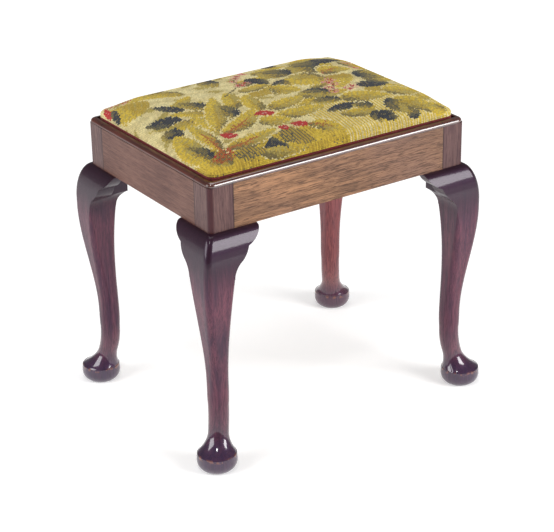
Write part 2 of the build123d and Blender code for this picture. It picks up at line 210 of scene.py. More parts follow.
# Polished mahogany, with the grain along one axis. upper holds the tones of the posts above the knees.
def mahogany(name, grainAxis, tones, gloss, upper=None):
    m = Look(name)
    place = m.place()
    x, y, z = m.axes(place)
    squeeze = [1.0, 1.0, 1.0]
    squeeze[grainAxis] = wood["squeeze"]
    grain = m.stretch(place, tuple(squeeze))
    bands = m.noise(grain, wood["band"], 3.0, 0.55, 0.6).rise(0.32, 0.68)
    cloud = m.noise(place, wood["cloud"], 2.0).rise(0.3, 0.7)
    flecks = m.noise(grain, wood["fleck"], 4.0, 0.62, 0.8).rise(0.42, 0.64)
    pores = m.noise(grain, wood["pore"], 2.0, 0.6)
    figure = bands * 0.6 + cloud * 0.4
    base = m.mix(figure, tones["deep"], tones["light"])
    dark = tones["fleck"]
    # Purple-brown patches over the rails, more of them towards the right end.
    if "purplePatch" in tones:
        patches = m.noise(place, wood["purplePatch"], 2.0).rise(0.35, 0.65)
        patches = patches + x.rise(wood["purpleFrom"], wood["purpleTo"])
        base = m.mix(patches * 0.4, base, tones["purplePatch"])
    if upper:
        isPost = z.rise(railUnderside - 0.0002, railUnderside + 0.0002)
        base = m.mix(isPost, base, m.mix(figure, upper["deep"], upper["light"]))
        dark = m.mix(isPost, dark, upper["fleck"])
        # Painted light: the back right leg is made lighter and redder, standing in for light falling on it
        # from behind.
        paintedBackLegLight = x.rise(-0.02, 0.02) * y.rise(-0.02, 0.02) * (1.0 - isPost)
        base = m.mix(paintedBackLegLight * 0.6, base, tones["red"])
        wide, narrow = wood["arrisWide"], wood["arrisNarrow"]
        arris = isPost * x.calc("ABSOLUTE").rise(postEdge.x - wide, postEdge.x - narrow)
        arris = arris * y.calc("ABSOLUTE").rise(postEdge.y - wide, postEdge.y - narrow)
        base = m.mix(arris * 0.85, base, tones["arris"])
        # Painted shade: the knees below the rail are darkened towards the knee colour, standing in for the
        # shade under the rail.
        paintedKneeShade = z.rise(railUnderside - wood["kneeShadeLow"], railUnderside - wood["kneeShadeHigh"]) * (1.0 - isPost)
        base = m.mix(paintedKneeShade * 0.92, base, tones["knee"])
        # Painted reflection: the feet are darkened towards a dark blue, standing in for the bluish reflection
        # on their polish.
        base = m.mix(z.rise(wood["footBlueTop"], foot["rim"]) * 0.7, base, tones["foot"])
    base = m.mix(flecks * tones["strong"], base, dark)
    base = m.mix(pores.rise(0.56, 0.7) * tones["strong"] * 0.8, base, dark)
    if upper:
        away = ((x.calc("ABSOLUTE") - foot["x"]) ** 2.0 + (y.calc("ABSOLUTE") - foot["y"]) ** 2.0) ** 0.5
        rim = z.hump(foot["rim"], 0.004) * away.rise(foot["radius"] - 0.002, foot["radius"])
        chips = m.noise(place, wood["chip"], 3.0).rise(0.5, 0.62)
        base = m.mix(rim * chips * 0.5, base, tones["worn"])
    alongX = x.calc("ABSOLUTE").hump(postX, wood["jointReach"])
    alongY = y.calc("ABSOLUTE").hump(postY, wood["jointReach"])
    joint = alongX.calc("MAXIMUM", alongY) * z.rise(railUnderside, railUnderside + 0.001)
    base = m.mix(joint * 0.9, base, tones["joint"])
    rough = gloss["rough"] + flecks * 0.08 + pores.rise(0.55, 0.75) * 0.08
    coat = gloss["coat"]
    if upper:
        footShare = z.rise(wood["coatHigh"], wood["coatLow"])
        coat = (footShare * (gloss["footCoat"] - coat) + coat) * (1.0 - isPost * 0.8)
    return m.finish({
        "Base Color": base, "Roughness": rough, "Specular IOR Level": gloss["shine"],
        "Specular Tint": gloss["tint"], "Coat Weight": coat, "Coat Roughness": gloss["coatRough"],
        "Coat IOR": gloss["coatIor"], "Normal": m.bump(pores * 0.6 + flecks * 0.4, wood["relief"], 0.25),
    })


def paint(names, material):
    for name in names:
        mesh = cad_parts[name].data
        mesh.materials.clear()
        mesh.materials.append(material)


def starting(*starts):
    return [name for name in nodeNames if name.startswith(starts)]


railTones = {
    "deep": colour(112, 80, 56), "light": colour(168, 123, 88), "fleck": colour(50, 30, 24), "strong": 0.8,
    "joint": colour(14, 8, 8), "purplePatch": colour(114, 86, 76),
}
# Painted shade: the side rails get a darker, greyer copy of the front rail's mahogany tones, for the shade on
# their faces.
shadedSideTones = {
    "deep": colour(88, 56, 48), "light": colour(114, 80, 68), "fleck": colour(58, 36, 34), "strong": 0.5,
    "joint": colour(14, 8, 8),
}
postTones = {"deep": colour(82, 60, 54), "light": colour(108, 82, 72), "fleck": colour(44, 28, 26)}
legTones = {
    "deep": colour(50, 24, 44), "light": colour(104, 54, 66), "fleck": colour(28, 12, 22), "strong": 0.6,
    # red is painted light on the back right leg; worn is real wear at the foot rim.
    "red": colour(150, 78, 66), "worn": colour(150, 92, 60), "joint": colour(14, 8, 8),
    # knee is painted shade under the rails; foot is a painted bluish reflection on the feet.
    "arris": colour(58, 22, 14), "knee": colour(24, 4, 16), "foot": colour(28, 20, 58),
}
mouldingTones = {
    "deep": colour(58, 26, 22), "light": colour(96, 48, 36), "fleck": colour(34, 14, 14), "strong": 0.6,
    "joint": colour(20, 8, 8),
}
plain = (1.0, 1.0, 1.0, 1.0)
railGloss = {"rough": 0.45, "shine": 0.25, "tint": plain, "coat": 0.06, "coatRough": 0.3, "coatIor": 1.5}
legGloss = {
    "rough": 0.4, "shine": 0.3, "tint": (0.75, 0.5, 0.85, 1.0), "coat": 0.32, "footCoat": 1.0,
    "coatRough": 0.09, "coatIor": 1.65,
}
sideGloss = {"rough": 0.34, "shine": 0.25, "tint": plain, "coat": 0.7, "coatRough": 0.06, "coatIor": 1.5}
mouldingGloss = {"rough": 0.3, "shine": 0.4, "tint": plain, "coat": 1.0, "coatRough": 0.06, "coatIor": 1.85}
paint(["rail_front", "rail_back"], mahogany("mahoganyAlongX", 0, railTones, railGloss))
paint(["rail_left", "rail_right"], mahogany("mahoganyAlongY", 1, shadedSideTones, railGloss))
mouldingX = mahogany("mouldingAlongX", 0, mouldingTones, mouldingGloss)
mouldingY = mahogany("mouldingAlongY", 1, mouldingTones, sideGloss)
paint(["top_moulding_front", "top_moulding_back"], mouldingX)
paint(["top_moulding_left", "top_moulding_right"], mouldingY)
paint(starting("leg_", "knee_block"), mahogany("mahoganyUpright", 2, legTones, legGloss, postTones))


# Plain inside wood: beech bars of the loose seat, softwood corner blocks.
def plainWood(name, grainAxis, light, deep, ring):
    m = Look(name)
    squeeze = [1.0, 1.0, 1.0]
    squeeze[grainAxis] = 0.05
    grain = m.stretch(m.place(), tuple(squeeze))
    rings = m.noise(grain, ring, 3.0, 0.5, 0.4)
    rays = m.noise(grain, 700.0, 2.0, 0.6)
    base = m.mix(rings.rise(0.35, 0.65), light, deep)
    base = m.mix(rays.rise(0.58, 0.7) * 0.5, base, deep)
    rough = 0.62 + rays * 0.2
    return m.finish({"Base Color": base, "Roughness": rough, "Normal": m.bump(rays + rings, 0.0002, 0.4)})


beech = (colour(196, 158, 112), colour(160, 118, 78))
deal = (colour(176, 130, 84), colour(132, 88, 54))
paint(["seat_bar_front", "seat_bar_back"], plainWood("beechAlongX", 0, *beech, 90.0))
paint(["seat_bar_left", "seat_bar_right"], plainWood("beechAlongY", 1, *beech, 90.0))
paint(starting("corner_block_f", "corner_block_b"), plainWood("dealAcross", 0, *deal, 140.0))


def metal(name, bright, dull, rough):
    m = Look(name)
    place = m.place()
    spots = m.noise(place, 900.0, 4.0, 0.6)
    base = m.mix(spots.rise(0.45, 0.7), bright, dull)
    return m.finish({"Base Color": base, "Metallic": 1.0, "Roughness": rough + spots * 0.25})


paint(["corner_block_screws"], metal("screwSteel", colour(176, 170, 160), colour(110, 84, 62), 0.25))
paint(["cover_tacks", "webbing_tacks"], metal("tackSteel", colour(70, 74, 84), colour(44, 36, 34), 0.3))
print("stage: wood and metal")

# Sizes of the cover, which the pad follows.
coverLow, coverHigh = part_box("needlework_cover")
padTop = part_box("stuffing")[1].z
cover = {
    "corner": 0.013, "shoulderRun": 0.013, "shoulderRise": 0.0135, "crownRise": 0.0115, "thick": 0.0014,
    "sink": 0.0012, "turnUnder": 0.025, "step": 0.004, "ringStep": 0.005,
    "cornerReach": 0.07, "cornerFall": 0.0075, "trustRun": 0.02, "turnIn": 0.059,
    "ringCount": 280, "hem": 0.004, "blurRounds": 6, "aim": 0.05,
}
halfX, halfY = coverHigh.x, coverHigh.y
crownTop = coverHigh.z
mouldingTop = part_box("top_moulding_front")[1].z
shoulderTop = crownTop - cover["crownRise"]
sideTop = shoulderTop - cover["shoulderRise"]


# The padding thins towards each corner of the seat.
def cornerFall(x, y, z):
    away = np.hypot(halfX - np.abs(x), halfY - np.abs(y))
    near = np.clip(1 - away / cover["cornerReach"], 0.0, 1.0)
    above = np.clip((z - sideTop) / cover["shoulderRise"], 0.0, 1.0)
    return cover["cornerFall"] * near ** 2 * (3 - 2 * near) * above


# Pad of the loose seat: the stuffing is remeshed and blown up as cloth, held at its foot.
pad = {
    "voxel": 0.005, "pressure": 4.0, "frames": 20, "grip": 0.004, "mostMove": 0.001, "smooth": 12,
    "fill": 0.85, "ease": 0.5,
}


def applied(piece):
    graph = bpy.context.evaluated_depsgraph_get()
    mesh = bpy.data.meshes.new_from_object(piece.evaluated_get(graph))
    piece.modifiers.clear()
    piece.data = mesh


def verticesOf(mesh):
    places = np.empty(len(mesh.vertices) * 3)
    mesh.vertices.foreach_get("co", places)
    return places.reshape(-1, 3)


def stuffedPad():
    piece = bpy.data.objects.new("seatPad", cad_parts["stuffing"].data.copy())
    scene.collection.objects.link(piece)
    even = piece.modifiers.new("even", "REMESH")
    even.mode = "VOXEL"
    even.voxel_size = pad["voxel"]
    applied(piece)
    still = verticesOf(piece.data)
    held = piece.vertex_groups.new(name="held")
    held.add([int(i) for i in np.nonzero(still[:, 2] < still[:, 2].min() + pad["grip"])[0]], 1.0, "REPLACE")
    cloth = piece.modifiers.new("cloth", "CLOTH")
    cloth.settings.use_pressure = True
    cloth.settings.uniform_pressure_force = pad["pressure"]
    cloth.settings.vertex_group_mass = "held"
    cloth.settings.effector_weights.gravity = 0.0
    for step in range(1, pad["frames"] + 1):
        scene.frame_set(step)
    applied(piece)
    scene.frame_set(1)
    moved = verticesOf(piece.data) - still
    far = np.linalg.norm(moved, axis=1, keepdims=True)
    kept = still + moved * np.minimum(1.0, pad["mostMove"] / np.maximum(far, 1e-9))
    piece.data.vertices.foreach_set("co", kept.ravel())
    ease = piece.modifiers.new("ease", "SMOOTH")
    ease.iterations = pad["smooth"]
    ease.factor = pad["ease"]
    fine = piece.modifiers.new("fine", "SUBSURF")
    fine.levels = fine.render_levels = 1
    applied(piece)
    places = verticesOf(piece.data)
    places[:, 2] -= cornerFall(*places.T)
    piece.data.vertices.foreach_set("co", places.ravel())
    piece.data.polygons.foreach_set("use_smooth", [True] * len(piece.data.polygons))
    return piece


m = Look("calicoCloth")
threads = m.noise(m.place(), 1400.0, 2.0)
calicoBase = m.mix(threads, colour(214, 204, 180), colour(190, 178, 150))
calico = m.finish({
    "Base Color": calicoBase, "Roughness": 0.9, "Sheen Weight": 0.2, "Normal": m.bump(threads, 0.0003, 0.5),
})
seatPad = stuffedPad()
seatPad.data.materials.clear()
seatPad.data.materials.append(calico)
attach(seatPad, "drop_in_seat")
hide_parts("stuffing", "calico_lining")
print("stage: pad")

# Height of the cover over the pad, and its rounded shoulder.
padTree = BVHTree.FromObject(seatPad, bpy.context.evaluated_depsgraph_get())
padCover = crownTop - padTop


def blurred(field, rounds):
    for _ in range(rounds):
        around = np.pad(field, 1, mode="edge")
        beside = around[:-2, 1:-1] + around[2:, 1:-1] + around[1:-1, :-2] + around[1:-1, 2:]
        field = (around[1:-1, 1:-1] * 4 + beside) / 8
    return field


def plainHeight(x, y):
    inset = np.maximum(np.minimum(halfX - np.abs(x), halfY - np.abs(y)), 0.0)
    run = cover["shoulderRun"]
    share = np.clip((inset - run) / (halfY - run), 0.0, 1.0)
    crown = crownTop - cover["crownRise"] * (1 - share) ** 2
    bow = sideTop + cover["shoulderRise"] * np.sqrt(np.clip(1 - (1 - inset / run) ** 2, 0.0, 1.0))
    return np.where(inset < run, bow, crown)


gridX = np.arange(-halfX, halfX + cover["step"], cover["step"])
gridY = np.arange(-halfY, halfY + cover["step"], cover["step"])
meshX, meshY = np.meshgrid(gridX, gridY)
heights = plainHeight(meshX, meshY)
heights -= cornerFall(meshX, meshY, heights)
for row, y in enumerate(gridY):
    for column, x in enumerate(gridX):
        inset = min(halfX - abs(x), halfY - abs(y))
        hit = padTree.ray_cast(Vector((x, y, crownTop + cover["aim"])), Vector((0, 0, -1)))[0]
        if hit and inset > cover["shoulderRun"]:
            trust = min((inset - cover["shoulderRun"]) / cover["trustRun"], 1.0)
            heights[row, column] += (hit.z + padCover - heights[row, column]) * trust
heights = blurred(heights, cover["blurRounds"])


def coverHeight(x, y):
    atX = np.clip((np.asarray(x) - gridX[0]) / cover["step"], 0, len(gridX) - 1.001)
    atY = np.clip((np.asarray(y) - gridY[0]) / cover["step"], 0, len(gridY) - 1.001)
    left, low = atX.astype(int), atY.astype(int)
    u, v = atX - left, atY - low
    lower = heights[low, left] * (1 - u) + heights[low, left + 1] * u
    upper = heights[low + 1, left] * (1 - u) + heights[low + 1, left + 1] * u
    return lower * (1 - v) + upper * v


# Points round the seat at an inset: place, outward direction and run along the edge.
def ringPoints(inset, count):
    radius = max(cover["corner"] - inset, 0.002)
    straightX, straightY = halfX - inset - radius, halfY - inset - radius
    arc = radius * math.pi / 2
    sides = (2 * straightX, arc, 2 * straightY, arc) * 2
    total = sum(sides[:4]) * 2
    points, outs = [], []
    for step in range(count):
        along = total * step / count
        part = 0
        while along > sides[part]:
            along -= sides[part]
            part += 1
        side, isArc = part // 2, part % 2
        signs = ((0, -1), (1, 0), (0, 1), (-1, 0))[side]
        nextSigns = ((1, 0), (0, 1), (-1, 0), (0, -1))[side]
        reach = np.array((straightX, straightY))
        if isArc:
            turn = along / radius
            out = np.array(signs) * math.cos(turn) + np.array(nextSigns) * math.sin(turn)
            centre = (np.array(signs) + np.array(nextSigns)) * reach
        else:
            out = np.array(signs, float)
            sideways = np.array(nextSigns)
            span = abs(float(sideways @ reach))
            centre = np.array(signs) * reach + sideways * (along - span)
        points.append(centre + out * radius)
        outs.append(out)
    return np.array(points), np.array(outs), total


# Canvas under the stitches: a real layer, but its dark brown is painted shade for the gaps between stitch
# columns.
m = Look("needleworkCanvas")
canvasThreads = m.noise(m.place(), 1100.0, 2.0)
canvasAndGapShade = m.mix(canvasThreads, colour(80, 62, 34), colour(52, 38, 20))
canvas = m.finish({"Base Color": canvasAndGapShade, "Roughness": 0.95, "Normal": m.bump(canvasThreads, 0.0004, 0.6)})


def canvasShell():
    count = cover["ringCount"]
    sink, thick = cover["sink"], cover["thick"]
    low = coverLow.z
    outline = [(cover["turnUnder"], low, -1)]
    outline += [(cover["hem"], low, -1), (sink + 0.0004, low + 0.0006, -1), (sink, low + 0.002, 0)]
    outline += [(sink, low + (sideTop - low) * k / 5, 0) for k in range(1, 6)]
    run, rise = cover["shoulderRun"], cover["shoulderRise"]
    for turn in (20, 40, 60, 80):
        swing = math.radians(turn)
        outline.append((run - (run - sink) * math.cos(swing), sideTop + (rise - sink) * math.sin(swing), 0))
    outline += [(d, None, 1) for d in np.arange(0.014, halfY - 0.002, cover["ringStep"])]
    rings = []
    for side in (0, 1):
        for inset, z, part in outline if side == 0 else outline[::-1]:
            inner = inset + (thick if side and part == 0 else 0.0)
            places = ringPoints(inner, count)[0]
            if part == 1:
                level = coverHeight(places[:, 0], places[:, 1]) - sink - thick * side
            else:
                level = np.full(count, z + (thick * side if part == -1 else 0.0))
                level = level - cornerFall(places[:, 0], places[:, 1], level)
            rings.append(np.column_stack([places, level]))
    half = len(outline)
    points = np.concatenate(rings)
    faces = []
    for ring in range(2 * half):
        if ring == half - 1:
            continue
        other = (ring + 1) % (2 * half)
        for k in range(count):
            after = (k + 1) % count
            faces.append((ring * count + k, ring * count + after, other * count + after, other * count + k))
    for ring, flip in ((half - 1, False), (half, True)):
        loop = [ring * count + k for k in range(count)]
        faces.append(loop[::-1] if flip else loop)
    return newPiece("needleworkCanvas", points, faces, canvas)


canvasCover = canvasShell()
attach(canvasCover, "drop_in_seat")
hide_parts("needlework_cover")
print("stage: canvas")

# Chart of the needlework: leaves over leaves, each with its base, middle, tip and half width in millimetres.
leaves = (
    ("sage", 150, -108, 176, -98, 202, -104, 24),
    ("ochre", -30, 20, 10, 30, 50, 24, 20),
    ("sage", 20, -20, 60, -34, 104, -36, 18),
    ("ochre", 150, 30, 120, 10, 96, -24, 20),
    ("gold", 60, 92, 96, 84, 132, 96, 16),
    ("sage", -20, 70, 20, 84, 56, 80, 18),
    ("ochre", 120, -60, 160, -44, 200, -46, 16),
    ("gold", -76, -12, -60, 20, -50, 56, 16),
    ("sage", 100, 60, 130, 78, 162, 86, 20),
    ("sage", 60, -8, 92, 6, 122, -2, 15),
    ("sage", 156, -4, 180, -6, 203, -12, 18),
    ("sage", 34, 112, 70, 126, 104, 124, 15),
    ("sage", 108, 122, 140, 134, 172, 140, 14),
    ("sage", 178, 132, 192, 118, 202, 92, 12),
    ("sage", 176, 92, 190, 70, 200, 45, 14),
    ("sage", -34, 44, -2, 48, 28, 62, 14),
    ("sage", 40, -106, 70, -112, 104, -104, 14),
    ("sage", 150, -134, 176, -138, 203, -128, 14),
    ("sage", -120, -30, -86, -44, -52, -36, 20),
    ("sage", -34, -60, 6, -52, 44, -40, 16),
    ("sage", -150, 44, -120, 60, -96, 82, 14),
    ("sage", -128, -146, -90, -150, -44, -150, 13),
    ("sage", -204, -60, -192, -92, -196, -128, 16),
    ("tan", -145, 123, -167, 148, -204, 143, 14),
    ("ochre", -158, 87, -185, 97, -206, 125, 34),
    ("gold", -95, 95, -117, 128, -170, 132, 26),
    ("red", -212, 112, -207, 128, -200, 142, 9),
    ("dark", -212, 86, -206, 106, -197, 128, 9),
    ("gold", -109, -18, -133, 14, -159, 36, 12),
    ("dark", -134, 31, -147, 55, -161, 77, 12),
    ("olive", -101, 11, -114, 38, -134, 65, 13),
    ("dark", -151, 6, -174, 17, -201, 26, 22),
    ("gold", -139, -17, -161, -12, -187, -11, 17),
    ("olive", -175, -34, -190, -26, -204, -20, 22),
    ("dark", -174, -32, -188, -31, -202, -30, 8),
    ("gold", -176, -151, -190, -105, -188, -32, 28),
    ("olive", -183, -124, -192, -95, -200, -71, 11),
    ("gold", -136, -70, -131, -22, -143, 2, 17),
    ("gold", -136, -70, -104, -2, -75, 51, 16),
    ("olive", -88, -37, -90, -12, -90, 17, 15),
    ("gold", -49, -39, -42, -1, -33, 32, 16),
    ("gold", -37, -42, 1, -31, 33, -24, 18),
    ("gold", -53, -70, 0, -70, 41, -69, 17),
    ("gold", -76, -69, -52, -78, -29, -84, 19),
    ("petal", -167, -118, -161, -62, -157, -17, 19),
    ("petal", -159, -119, -114, -111, -64, -98, 20),
    ("petal", -138, -78, -92, -59, -55, -26, 26),
    ("red", -37, -54, -53, -48, -67, -46, 10),
    ("red", -125, -93, -136, -87, -143, -76, 11),
    ("rust", -155, -124, -173, -131, -189, -131, 13),
    ("hatch", -160, -140, -133, -140, -108, -141, 12),
    ("petal", -18, -108, 3, -119, 17, -143, 22),
    ("hatch", -59, -104, -54, -132, -37, -150, 21),
    ("red", -18, -108, -28, -103, -40, -98, 10),
    ("red", -51, -109, -54, -102, -61, -96, 8),
    ("dark", -110, -140, -86, -132, -78, -152, 15),
    ("olive", 95, -118, 83, -134, 82, -150, 9),
    ("dark", 91, -122, 100, -136, 106, -150, 19),
    ("olive", 128, -152, 136, -148, 147, -132, 10),
    ("gold", 196, -150, 184, -145, 168, -140, 16),
    ("gold", 129, -113, 161, -115, 186, -128, 24),
    ("dark", 83, -85, 59, -86, 28, -89, 13),
    ("olive", 73, -59, 51, -56, 26, -51, 12),
    ("olive", 101, -98, 86, -95, 71, -90, 12),
    ("olive", 134, -93, 128, -117, 133, -143, 14),
    ("gold", 71, -62, 108, -68, 146, -81, 21),
    ("gold", 146, -65, 177, -70, 205, -72, 26),
    ("dark", 127, -30, 155, -27, 186, -26, 20),
    ("olive", 162, 32, 181, 20, 198, 1, 26),
    ("dark", 137, 101, 170, 114, 197, 108, 26),
    ("olive", 128, 73, 117, 98, 95, 112, 36),
    ("gold", 107, 25, 78, 38, 47, 46, 34),
    ("petal", 115, 44, 154, 62, 174, 53, 33),
    ("olive", 75, 71, 62, 96, 45, 118, 26),
    ("olive", 53, 55, 28, 27, 1, -1, 15),
    ("olive", 77, -29, 56, -21, 32, -13, 16),
    ("gold", 15, 35, 29, 10, 46, -2, 22),
    ("dark", 14, 98, 21, 75, 26, 52, 18),
    ("olive", -20, 120, -36, 126, -52, 130, 30),
    ("dark", 97, 140, 85, 144, 72, 146, 10),
)
# Sprays of small pink flowers, in millimetres, and their stems.
sprays = ((20, 132), (34, 136), (-5, 103), (-11, 75), (1, 80), (108, 14), (101, -5), (84, -17), (81, -31),
          (186, 62), (191, 85), (109, -32), (119, -26), (8, 118), (96, 4))
stems = ((-11, 75, -60, 40), (-5, 103, -11, 75), (20, 132, -5, 103), (101, -5, 81, -31))
wools = ("cream", "pale", "yellow", "ochre", "sage", "moss", "olive", "slate", "dark", "red", "pink", "rust",
         "maroon")
woolIndex = {name: index for index, name in enumerate(wools)}


# Plain grounds between the leaves, and how leaves taper and are toothed, in millimetres.
ground = {"frontRow": -112, "frontEnd": 20, "outlineRow": -125, "rightRow": -50, "rightLean": 0.2}
leafForm = {
    "slim": 1.9, "broad": 2.5, "base": 0.55, "tip": 0.75, "tooth": 7.0, "toothDeep": 0.1, "vein": 9.0,
    "veinLean": 0.9, "sideLight": 0.4, "dither": 0.3, "driftLight": 0.15,
}
flower = {"stem": 1.4, "outer": 9.0, "inner": 4.5, "fill": 0.6}


# Where stitches lie on one leaf: along it from base to tip, across it from -1 to 1, and between its veins.
def onLeaf(leaf, x, y):
    kind, bx, by, mx, my, tx, ty, half = leaf
    axisX, axisY = tx - bx, ty - by
    length = math.hypot(axisX, axisY)
    axisX, axisY = axisX / length, axisY / length
    along = ((x - bx) * axisX + (y - by) * axisY) / length
    across = -(x - bx) * axisY + (y - by) * axisX
    middle = -(mx - bx) * axisY + (my - by) * axisX
    at = np.clip(along, 0.0, 1.0)
    across = across - middle * 4 * at * (1 - at)
    teeth = 1 + leafForm["toothDeep"] * np.sin(2 * math.pi * at * length / leafForm["tooth"])
    broad = leafForm["slim"] if kind in ("dark", "red", "petal") else leafForm["broad"]
    taper = at ** leafForm["base"] * (1 - at) ** leafForm["tip"]
    width = half * broad * taper * teeth + 1e-6
    side = across / width
    edge = np.abs(side)
    inside = (along > 0) & (along < 1) & (edge < 1)
    vein = np.mod(at * length / leafForm["vein"] - edge * leafForm["veinLean"], 1.0)
    return inside, at, side, edge, vein, edge * width


# Wool of each stitch at x, y in millimetres. scatter is one random value per stitch.
def chart(x, y, scatter, jitter):
    wool = np.full(len(x), woolIndex["cream"])
    column = np.mod(np.round(x / (stitch["pitchX"] * 1000)), 2) == 0
    x, y = x + jitter[:, 0], y + jitter[:, 1]

    def dye(where, name):
        wool[where] = woolIndex[name]

    drift = np.sin(x * 0.11 + 2 * np.sin(y * 0.07)) * np.sin(y * 0.09 + 1.3)
    dye(drift + 0.3 * scatter > 0.35, "pale")
    dye((drift + 0.3 * scatter < -0.5) & (x < 0), "sage")
    dye(column & (y < ground["rightRow"] - ground["rightLean"] * x) & (x > 0), "yellow")
    front = (y < ground["frontRow"]) & (x < ground["frontEnd"])
    dye(front, "yellow")
    dye(front & column & (drift > -0.3), "ochre")
    dye(front & (scatter > 0.97), "olive")
    outlined = y > ground["outlineRow"]
    shade = leafForm["dither"] * (scatter - 0.5) + leafForm["driftLight"] * drift
    for leaf in leaves:
        kind = leaf[0]
        inside, at, side, edge, vein, fromRib = onLeaf(leaf, x, y)
        light = at + leafForm["sideLight"] * side + shade
        if kind in ("gold", "petal"):
            dye(inside, "yellow")
            dye(inside & (side < 0) & (light < 0.6), "sage")
            dye(inside & (light < 0.34), "ochre")
            dye(inside & (light < 0.2), "moss")
            dye(inside & (light < 0.08), "olive")
            dye(inside & (vein < 0.22) & (edge < 0.75), "sage")
            dye(inside & (edge < 0.1) & (at < 0.75), "ochre")
            dye(inside & (edge > 0.88) & outlined, "pale")
            if kind == "petal":
                dye(inside & (edge > 0.78) & outlined, "pale")
                dye(inside & (fromRib < flower["stem"]) & (at < 0.62), "rust")
                dye(inside & (vein < 0.16) & (edge < 0.45) & (at < 0.5), "rust")
        elif kind == "sage":
            dye(inside, "sage")
            dye(inside & (light > 0.62), "yellow")
            dye(inside & (vein < 0.3) & (edge < 0.8), "ochre")
            dye(inside & (light < 0.28), "moss")
            dye(inside & (light < 0.12), "olive")
            dye(inside & (edge > 0.86), "pale")
        elif kind == "ochre":
            dye(inside, "ochre")
            dye(inside & (light > 0.5), "yellow")
            dye(inside & (vein < 0.2), "sage")
        elif kind == "tan":
            dye(inside & (scatter < 0.4), "rust")
            dye(inside & (scatter > 0.8), "pink")
        elif kind == "olive":
            dye(inside, "olive")
            dye(inside & (light > 0.55), "moss")
            dye(inside & (light > 0.8), "sage")
            dye(inside & (vein < 0.25) & (side > 0), "ochre")
            dye(inside & (light < 0.24), "slate")
            dye(inside & (light < 0.06), "dark")
            dye(inside & (edge < 0.1) & (at < 0.8), "slate")
        elif kind == "dark":
            dye(inside, "dark")
            dye(inside & (light > 0.72), "slate")
            dye(inside & (light > 1.0), "olive")
            dye(inside & (vein < 0.2) & (edge < 0.8) & (scatter < 0.55), "olive")
        elif kind == "red":
            dye(inside, "red")
            dye(inside & (edge < 0.3) & (at > 0.35) & (at < 0.65) & (scatter < 0.4), "pink")
        elif kind == "rust":
            dye(inside & (scatter < 0.45), "rust")
            dye(inside & (scatter > 0.85), "red")
        elif kind == "hatch":
            dye(inside, "ochre")
            dye(inside & column, "olive")
            dye(inside & (light < 0.4) & (scatter < 0.4), "slate")
    for fromX, fromY, toX, toY in stems:
        length = math.hypot(toX - fromX, toY - fromY)
        dirX, dirY = (toX - fromX) / length, (toY - fromY) / length
        along = (x - fromX) * dirX + (y - fromY) * dirY
        across = np.abs(-(x - fromX) * dirY + (y - fromY) * dirX)
        dye((along > 0) & (along < length) & (across < flower["stem"]), "olive")
    for centreX, centreY in sprays:
        away = np.hypot(x - centreX, y - centreY)
        dye((away < flower["outer"]) & (scatter < flower["fill"]), "pink")
        dye((away < flower["inner"]) & (scatter < flower["fill"]), "red")
    return wool


# Stitches: columns across the top, then rows round the shoulder and down the sides.
stitch = {
    "pitchX": 0.0026, "pitchY": 0.0022, "slant": 0.42, "thick": 0.0013, "seed": 7, "border": 0.0014,
    "bed": 0.0006, "jitter": 0.8, "longShare": 0.86, "wideShare": 1.02, "shoulderRows": 8, "slopeStep": 0.002,
}


def stitchPlaces():
    random = np.random.default_rng(stitch["seed"])
    columns = np.arange(-halfX, halfX, stitch["pitchX"])
    rows = np.arange(-halfY, halfY, stitch["pitchY"])
    x, y = (field.ravel() for field in np.meshgrid(columns, rows))
    inset = np.minimum(halfX - np.abs(x), halfY - np.abs(y))
    cornerX = np.maximum(np.abs(x) - (halfX - cover["corner"]), 0.0)
    cornerY = np.maximum(np.abs(y) - (halfY - cover["corner"]), 0.0)
    inset = np.minimum(inset, cover["corner"] - np.hypot(cornerX, cornerY))
    keep = inset > cover["shoulderRun"] * 0.9
    x, y = x[keep], y[keep]
    step = stitch["slopeStep"]
    slopeX = (coverHeight(x + step, y) - coverHeight(x - step, y)) / (2 * step)
    slopeY = (coverHeight(x, y + step) - coverHeight(x, y - step)) / (2 * step)
    up = np.column_stack([-slopeX, -slopeY, np.ones_like(x)])
    along = np.column_stack([np.ones_like(x), np.full_like(x, stitch["slant"]), slopeX])
    places = [np.column_stack([x, y, coverHeight(x, y) - stitch["bed"]])]
    ups, alongs = [up], [along]
    flat = [np.column_stack([x, y])]
    isBorder = [np.zeros(len(x), bool)]
    run, rise = cover["shoulderRun"], cover["shoulderRise"]
    swings = np.radians(np.linspace(78.0, 10.0, stitch["shoulderRows"]))
    profile = [(run * (1 - math.cos(s)), sideTop + rise * math.sin(s), s) for s in swings]
    profile += [(0.0, z, 0.0) for z in np.arange(sideTop, coverLow.z + 0.001, -stitch["pitchX"])]
    topInset, unrolled = profile[0][0], 0.0
    last = profile[0]
    for inset, z, swing in profile:
        unrolled += math.hypot(inset - last[0], z - last[1])
        last = (inset, z)
        around = ringPoints(inset, 4)[2]
        points, outs, _ = ringPoints(inset, int(around / stitch["pitchY"]))
        count = len(points)
        level = z - cornerFall(points[:, 0], points[:, 1], np.full(count, z))
        places.append(np.column_stack([points, level]))
        tilt = math.sin(swing)
        ups.append(np.column_stack([outs * math.cos(swing), np.full(count, tilt)]))
        sideways = np.column_stack([-outs[:, 1], outs[:, 0]])
        downhill = np.column_stack([outs * tilt, np.full(count, -math.cos(swing))])
        alongs.append(downhill + np.column_stack([sideways * stitch["slant"], np.zeros(count)]))
        flat.append(points + outs * (unrolled - (topInset - inset)))
        isBorder.append(np.full(count, z < mouldingTop + stitch["border"]))
    places, ups, alongs = np.concatenate(places), np.concatenate(ups), np.concatenate(alongs)
    flat, isBorder = np.concatenate(flat) * 1000, np.concatenate(isBorder)
    scatter = random.random(len(places))
    jitter = random.normal(0.0, stitch["jitter"], (len(places), 2))
    wool = chart(flat[:, 0], flat[:, 1], scatter, jitter)
    wool[isBorder] = woolIndex["maroon"]
    return places, ups, alongs, wool, random.random(len(places))


